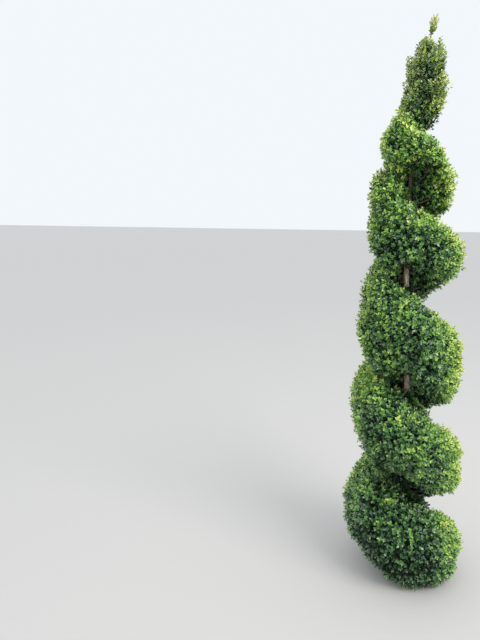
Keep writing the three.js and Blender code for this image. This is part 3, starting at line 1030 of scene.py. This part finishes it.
def leaf_cloud(feet, directions, reaches, size, pairs, first, open_angle, bud_angle):
    """The points of all leaves of some shoots, as shoot, leaf, point and axis. The leaves
    sit in pairs from the share first of a shoot's length to its end."""
    count = len(feet)
    across, third = across_from(directions)
    share = np.linspace(first, 1, pairs).repeat(2)
    angle = np.arange(pairs).repeat(2) * math.pi / 2 + np.tile([0, math.pi], pairs)
    angle = angle + draw.uniform(0, 2 * math.pi, (count, 1))
    angle = angle + draw.normal(0, TURN_WANDER, (count, 2 * pairs))
    open_by = open_angle + (bud_angle - open_angle) * share ** OPENING_POWER
    open_by = open_by + draw.normal(0, OPEN_WANDER, (count, 2 * pairs))
    length = size[:, None] * np.interp(share, *LEAF_SIZES)
    length = length * draw.uniform(*LEAF_SIZE_SPREAD, (count, 2 * pairs))
    foot = feet[:, None] + directions[:, None] * (reaches[:, None] * share)[..., None]
    turn_a, turn_b = np.cos(angle)[..., None], np.sin(angle)[..., None]
    sideways = turn_a * across[:, None] + turn_b * third[:, None]
    lift, spread = np.cos(open_by)[..., None], np.sin(open_by)[..., None]
    along = lift * directions[:, None] + spread * sideways
    upper = spread * directions[:, None] - lift * sideways
    upper = upper + LEAF_LIFT * LIGHT_FROM + draw.normal(0, LIFT_WANDER, upper.shape)
    upper = unit(upper - (upper * along).sum(axis=-1, keepdims=True) * along)
    aside = np.cross(along, upper)
    local = leaf_points * length[..., None, None]
    cloud = foot[..., None, :] + local[..., 0:1] * aside[..., None, :]
    cloud = cloud + local[..., 1:2] * along[..., None, :]
    cloud = cloud + local[..., 2:3] * upper[..., None, :]
    cloud[..., 2] = np.maximum(cloud[..., 2], GROUND_CLEARANCE)
    return cloud


# Greens of the leaves, from the oldest and darkest to the yellow-green of new growth. They are
# dealt out partly by age and growth and partly as painted shade and painted light.
LEAF_GREENS = {
    "deep_shade_green": {"colour": (0.008, 0.024, 0.008), "gloss": 0.3, "roughness": 0.5},
    "old_dark_green": {"colour": (0.019, 0.053, 0.021), "gloss": 0.4, "roughness": 0.45},
    "bluish_mid_green": {"colour": (0.040, 0.110, 0.042), "gloss": 1.0, "roughness": 0.35},
    "mid_green": {"colour": (0.069, 0.171, 0.046), "gloss": 1.0, "roughness": 0.34},
    "full_green": {"colour": (0.110, 0.257, 0.051), "gloss": 1.0, "roughness": 0.34},
    "fresh_green": {"colour": (0.172, 0.351, 0.060), "gloss": 0.9, "roughness": 0.36},
    "light_green": {"colour": (0.249, 0.443, 0.071), "gloss": 0.7, "roughness": 0.40},
    "new_yellow_green": {"colour": (0.355, 0.520, 0.080), "gloss": 0.5, "roughness": 0.45},
    "pale_yellow_green": {"colour": (0.490, 0.590, 0.140), "gloss": 0.5, "roughness": 0.45},
    "leader_olive_yellow": {"colour": (0.640, 0.670, 0.330), "gloss": 0.4, "roughness": 0.5},
    "grey_green_underside": {"colour": (0.330, 0.405, 0.255), "gloss": 0.3, "roughness": 0.6},
}
leaf_materials = []
for name, look in LEAF_GREENS.items():
    material = bpy.data.materials.new(name)
    material.use_nodes = True
    surface = material.node_tree.nodes["Principled BSDF"]
    surface.inputs["Base Color"].default_value = (*look["colour"], 1)
    surface.inputs["Roughness"].default_value = look["roughness"]
    surface.inputs["Specular IOR Level"].default_value = look["gloss"]
    leaf_materials.append(material)
# The last two colours are only for the sprigs that stand up past the top, and for leaves at
# the top that show their undersides. The sprigs' pale olive yellow is partly painted glare,
# and the grey-green undersides are partly painted pale sky glow over the top
GREENS = len(leaf_materials) - 2
UNDERSIDE_AND_SKY_GLOW = len(leaf_materials) - 1
UNDERSIDE_AND_GLOW_SHARE = 0.38


def leaf_shades(shade, steps, freshest=GREENS - 1):
    """Every leaf's green: its shoot's, and a step up or down from its foot to its tip."""
    return np.clip(shade[:, None] + np.repeat(steps, 2), 0, freshest)


# Leaves are paler on the right side and on the shoulders, partly new growth that is freshest
# where the sun reaches it and partly painted light; paler on the left side and on level faces
# near the trunk as painted light, and darker on undersides as painted shade. Where three
# numbers stand together, they are how much fresher, and between which two levels it sets in.
# Proud shoots are palest and deep ones darkest: older leaves, and painted shade inside the mass
LAYER_AGE_AND_SHADE = np.array([0.455, 0.255, 0.07])
RIGHT_SIDE_GROWTH_AND_LIGHT = (0.36, 0.55, 0.97)
LEFT_SIDE_PAINTED_LIGHT = (0.20, 0.6, 1)
SHOULDERS_GROWTH_AND_LIGHT = 0.13
INNER_SHOULDERS_PAINTED_LIGHT = 0.14
UNDERSIDE_PAINTED_SHADE = 0.6
PATCH_SIZE = 0.11
PATCH_SHIFT = Vector((2, 8, 4))
PATCHES = 0.10
TUFTS_LIGHT_AND_SHADE = 0.28
INSIDE_PAINTED_SHADE = 0.08
HOLLOW_PAINTED_SHADE = 0.12
CREASES_PAINTED_LIGHT = 0.18
UPPER_COILS = (0.13, 1.35, 1.65)
FRESHNESS_WANDER = 0.075
# This one, painted shade near the ground, sets in downwards, so its levels are heights with a
# minus before them
LOWEST_COIL_PAINTED_SHADE = (0.22, -0.65, -0.1)


def stepped(value, amount, low, high):
    """An amount that sets in softly between two levels of a value."""
    return amount * smooth(value, low, high)


patches = lumps(tips, PATCH_SIZE, PATCH_SHIFT)
outer = openness * ~is_deep * (1 - UNDERSIDE_PAINTED_SHADE * under)
growth_and_painted_light = LAYER_AGE_AND_SHADE[layer]
# Sides and shoulders: partly new growth, partly painted light; undersides: painted shade
growth_and_painted_light += stepped(outwards[:, 0], *RIGHT_SIDE_GROWTH_AND_LIGHT) * outer
growth_and_painted_light += stepped(-outwards[:, 0], *LEFT_SIDE_PAINTED_LIGHT) * outer
growth_and_painted_light += SHOULDERS_GROWTH_AND_LIGHT * np.clip(normals[:, 2], UNDERSIDE_SLOPE, 1) * outer
growth_and_painted_light += INNER_SHOULDERS_PAINTED_LIGHT * np.clip(normals[:, 2], 0, 1) * (1 - openness) * ~is_deep
# Tufts that stand out are paler and the recessed gaps darker: partly painted light and shade; the
# patches are tone that differs at random
growth_and_painted_light += PATCHES * patches + TUFTS_LIGHT_AND_SHADE * tufts * ~is_deep
# Darker near the trunk and in the hollows: painted shade
growth_and_painted_light -= INSIDE_PAINTED_SHADE * (1 - openness) + HOLLOW_PAINTED_SHADE * hollow
# Paler leaves in the narrow creases: painted light
growth_and_painted_light += CREASES_PAINTED_LIGHT * (crease > 0) * ~is_deep
growth_and_painted_light += stepped(tips[:, 2], *UPPER_COILS)

# The top is palest along its two edges, partly new growth and partly painted light, and at its
# shoots' tips, and darker between them
TOP_HEIGHTS = (1.82, 1.94)
TOP_EDGES_GROWTH_AND_LIGHT = 0.40
TOP_EDGE_SHARES = (0.2, 0.75)
TOP_MIDDLE = 0.03
TOP_SHOOT_TIPS = 8
TOP_SHOOT_MIDDLE = 0.3
TOP_PEAK = (0.22, 2.03, 2.11)

at_head = smooth(tips[:, 2], *TOP_HEIGHTS)
edge = smooth(np.abs(outwards[:, 0]), *TOP_EDGE_SHARES)
growth_and_painted_light += (
    at_head * (TOP_EDGES_GROWTH_AND_LIGHT * edge + TOP_MIDDLE)
    + TOP_SHOOT_TIPS * growth * np.maximum(edge, TOP_SHOOT_MIDDLE)
)
growth_and_painted_light += stepped(tips[:, 2], *TOP_PEAK) * ~is_deep
growth_and_painted_light -= stepped(-tips[:, 2], *LOWEST_COIL_PAINTED_SHADE)
growth_and_painted_light += draw.normal(0, FRESHNESS_WANDER, len(tips))
shade = np.clip(growth_and_painted_light * GREENS, 0, GREENS - 1).astype(int)

# Proud shoots, the ones between them and the deep ones: the lengths of their leaves, and how
# many greens each pair differs from its shoot's own, from foot to tip. Paler tips are new
# growth, and the wide steps of the proud shoots are partly painted highlight at the tips and
# painted shade at the feet.
LEAF_ROWS = (
    {"length": LEAF_LENGTH, "steps": (-3, -2, -1, 0, 1, 1)},
    {"length": LEAF_LENGTH, "steps": (-1, -1, 0, 0, 0)},
    {"length": DEEP_LEAF_LENGTH, "steps": (0, 0, 0, 0)},
)
LEAF_LENGTH_SPREAD = (0.85, 1.1)
FIRST_PAIR = 0.10

clouds, shades, cloud_owners = [], [], []
for number, row in enumerate(LEAF_ROWS):
    chosen = np.flatnonzero(layer == number)
    sizes = row["length"] * draw.uniform(*LEAF_LENGTH_SPREAD, len(chosen))
    clouds.append(leaf_cloud(
        bases[chosen], aims[chosen], lengths[chosen], sizes,
        len(row["steps"]), FIRST_PAIR, OPEN_ANGLE, BUD_ANGLE,
    ))
    greens = leaf_shades(shade[chosen], row["steps"])
    # Some leaves at the top get the grey-green of undersides, partly painted pale sky glow
    turned = draw.random(greens.shape) < UNDERSIDE_AND_GLOW_SHARE * at_head[chosen, None]
    shades.append(np.where(turned, UNDERSIDE_AND_SKY_GLOW, greens))
    cloud_owners.append(owner[chosen])

# Older leaves on the last stretch of the twigs behind the proud shoots, darker with age and as
# painted shade
TWIG_PAIRS = 3
TWIG_FIRST_PAIR = 0.2
TWIG_LAST_PAIR = 0.95
TWIG_STRETCH = 0.045
TWIG_CLOSING = 0.8
TWIG_AGE_AND_SHADE = 3
TWIG_FRESHEST = 2

chosen = np.flatnonzero(is_proud)
twig_way = bases[chosen] - origin[chosen]
stretch = np.minimum(np.linalg.norm(twig_way, axis=1), TWIG_STRETCH)
clouds.append(leaf_cloud(
    bases[chosen] - unit(twig_way) * stretch[:, None], unit(twig_way), stretch * TWIG_LAST_PAIR,
    np.full(len(chosen), DEEP_LEAF_LENGTH),
    TWIG_PAIRS, TWIG_FIRST_PAIR, OPEN_ANGLE, OPEN_ANGLE * TWIG_CLOSING,
))
twig_shade = np.clip(shade[chosen] - TWIG_AGE_AND_SHADE, 0, TWIG_FRESHEST)
shades.append(leaf_shades(twig_shade, np.zeros(TWIG_PAIRS, int)))
cloud_owners.append(owner[chosen])


def leaf_piece(name, clouds, shades, nodes):
    """Leaves as one mesh, every leaf in its own green."""
    points = np.concatenate([cloud.reshape(-1, len(leaf_points), 3) for cloud in clouds])
    greens = np.concatenate([shade.ravel() for shade in shades])
    clear = ~before_bark(points.mean(axis=1))
    points, greens = points[clear], greens[clear]
    faces = leaf_faces[None] + (np.arange(len(points)) * len(leaf_points))[:, None, None]
    piece = mesh_from(name, points.reshape(-1, 3), faces.reshape(-1, leaf_faces.shape[1]))
    for material in leaf_materials:
        piece.data.materials.append(material)
    greens = np.repeat(greens, len(leaf_faces)).astype(np.int32)
    piece.data.polygons.foreach_set("material_index", greens)
    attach(piece, "root")
    if nodes:
        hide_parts(*nodes)


# One piece of leaves for each side of each coil. The last, short coil goes with the fifth.
half_names = {}
for number, name in enumerate(mass_names):
    coil, quarter, side = name.replace("coil_6", "coil_5").rsplit("_", 2)
    half_names.setdefault(f"leaves_{coil}_{side}", []).append(number)
for half, members in half_names.items():
    inside = [np.isin(owners, members) for owners in cloud_owners]
    leaf_piece(
        half,
        [cloud[chosen] for cloud, chosen in zip(clouds, inside)],
        [shade[chosen] for shade, chosen in zip(shades, inside)],
        [mass_names[m] for m in members],
    )

# Leaves on the shoots of the trunk and of the thin bough: dark greens, partly painted shade, and
# darker in the lower grooves as painted shade
GROOVE_PAIRS = 5
GROOVE_FIRST_PAIR = 0.2
GROOVE_LENGTH_SPREAD = (0.7, 1)
GROOVE_SHADES = (1, 5)
LOWER_GROOVES_TO = 1.4
LOWER_GROOVES_PAINTED_SHADE = 2
GAP_PAIRS = 4
GAP_FIRST_PAIR = 0.3
GAP_SHADES = (1, 4)

trunk_cloud = leaf_cloud(
    trunk_places, trunk_aims, trunk_lengths,
    DEEP_LEAF_LENGTH * draw.uniform(*GROOVE_LENGTH_SPREAD, len(trunk_places)),
    GROOVE_PAIRS, GROOVE_FIRST_PAIR, OPEN_ANGLE, BUD_ANGLE,
)
trunk_shade = draw.integers(*GROOVE_SHADES, len(trunk_places))
trunk_shade -= LOWER_GROOVES_PAINTED_SHADE * (trunk_places[:, 2] < LOWER_GROOVES_TO)
gap_cloud = leaf_cloud(
    gap_places, gap_aims, gap_lengths, np.full(GAP_SHOOTS, SPRIG_LEAF_LENGTH),
    GAP_PAIRS, GAP_FIRST_PAIR, OPEN_ANGLE, BUD_ANGLE,
)
gap_shade = draw.integers(*GAP_SHADES, GAP_SHOOTS)
leaf_piece(
    "leaves_in_grooves",
    [trunk_cloud, gap_cloud],
    [
        leaf_shades(trunk_shade, np.zeros(GROOVE_PAIRS, int)),
        leaf_shades(gap_shade, np.zeros(GAP_PAIRS, int)),
    ],
    [],
)

# Leaves of the two sprigs, narrower about their shoots and palest at the tip, where the pale olive
# yellow is partly painted glare
SPRIG_STEPS = (-1, 0, 0, 0, 0)
SPRIG_FIRST_PAIR = 0.1
SPRIG_DARKEST = 3
SPRIG_OPEN_ANGLE = OPEN_ANGLE * 0.7
SPRIG_BUD_ANGLE = BUD_ANGLE * 0.6

for node, ((feet, sprig_aims, sprig_lengths), stem) in sprigs.items():
    cloud = leaf_cloud(
        feet, sprig_aims, sprig_lengths, np.full(len(feet), SPRIG_LEAF_LENGTH),
        len(SPRIG_STEPS), SPRIG_FIRST_PAIR, SPRIG_OPEN_ANGLE, SPRIG_BUD_ANGLE,
    )
    palest = GREENS + SPRIGS[node]["palest"]
    sprig_shade = np.linspace(SPRIG_DARKEST, palest, len(feet)).astype(int)
    greens = leaf_shades(np.minimum(sprig_shade, GREENS), SPRIG_STEPS, GREENS)
    leaf_piece("leaves_" + node, [cloud], [greens], [node])
